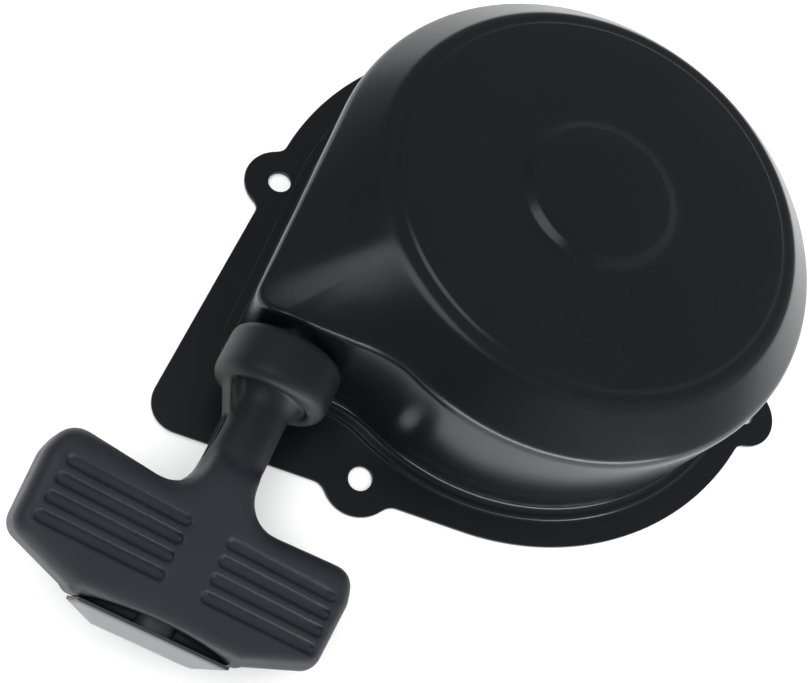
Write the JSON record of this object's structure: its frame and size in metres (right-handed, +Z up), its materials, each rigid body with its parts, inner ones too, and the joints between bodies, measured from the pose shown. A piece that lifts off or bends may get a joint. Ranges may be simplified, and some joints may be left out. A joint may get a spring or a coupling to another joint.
{
  "type": "recoil starter",
  "caption": "Pull-rope recoil starter for a small engine: pressed dome housing with eared flange, rope reel, pawls and T-grip.",
  "frame": {"origin": "reel axis on the flange's mating face", "axes": "+Z up through the dome, -Y the way the rope pulls, the snout and handle on the -X side"},
  "size_m": [0.2206, 0.2817, 0.0641],
  "materials": {
    "black_paint": "semi-gloss",
    "plain_steel": "satin",
    "spring_steel": "oiled",
    "reel_plastic": "matte",
    "bush_brass": "satin",
    "rope_fibre": "braided",
    "grip_rubber": "matte",
    "cap_plastic": "matte"
  },
  "bodies": {
    "housing": {"housing_shell": "black_paint", "centre_post": "plain_steel", "rope_guide": "plain_steel", "spring_keeper": "plain_steel", "mainspring": "spring_steel", "thrust_washer": "plain_steel", "brake_washer": "plain_steel", "friction_spring": "spring_steel", "centre_nut": "plain_steel"},
    "reel": {"reel": "reel_plastic", "reel_bush": "bush_brass", "rope_winding": "rope_fibre", "reel_knot": "rope_fibre", "pawl_studs": "plain_steel"},
    "pawl_1": {"pawl_1": "plain_steel"},
    "pawl_2": {"pawl_2": "plain_steel"},
    "friction_plate": {"friction_plate": "plain_steel"},
    "handle": {"grip": "grip_rubber", "grip_core": "plain_steel", "grip_cap": "cap_plastic", "knot_washer": "plain_steel", "handle_knot": "rope_fibre", "rope_run": "rope_fibre"}
  },
  "joints": [
    {"name": "handle_pull", "type": "slide", "parent": "housing", "child": "handle", "axis": [0, -1, 0], "range_m": [0, 1.2], "stiffness_N_per_m": 8, "springref_m": -0.8},
    {"name": "reel_spin", "type": "hinge", "parent": "housing", "child": "reel", "pos_m": [0, 0, 0.0265], "axis": [0, 0, 1], "range_deg": [0, 1060], "deforming": ["mainspring"]},
    {"name": "plate_turn", "type": "hinge", "parent": "reel", "child": "friction_plate", "pos_m": [0, 0, 0.0107], "axis": [0, 0, -1], "range_deg": [0, 30]},
    {"name": "pawl_1_swing", "type": "hinge", "parent": "reel", "child": "pawl_1", "pos_m": [0.022, 0, 0.0145], "axis": [0, 0, -1], "range_deg": [0, 40.5]},
    {"name": "pawl_2_swing", "type": "hinge", "parent": "reel", "child": "pawl_2", "pos_m": [-0.022, 0, 0.0145], "axis": [0, 0, -1], "range_deg": [0, 40.5]}
  ],
  "couplings": [
    {"joint": "reel_spin", "follows": "handle_pull", "rad_per_m": 15.385},
    {"joint": "pawl_1_swing", "follows": "plate_turn", "ratio": 1.3333},
    {"joint": "pawl_2_swing", "follows": "plate_turn", "ratio": 1.3333}
  ]
}
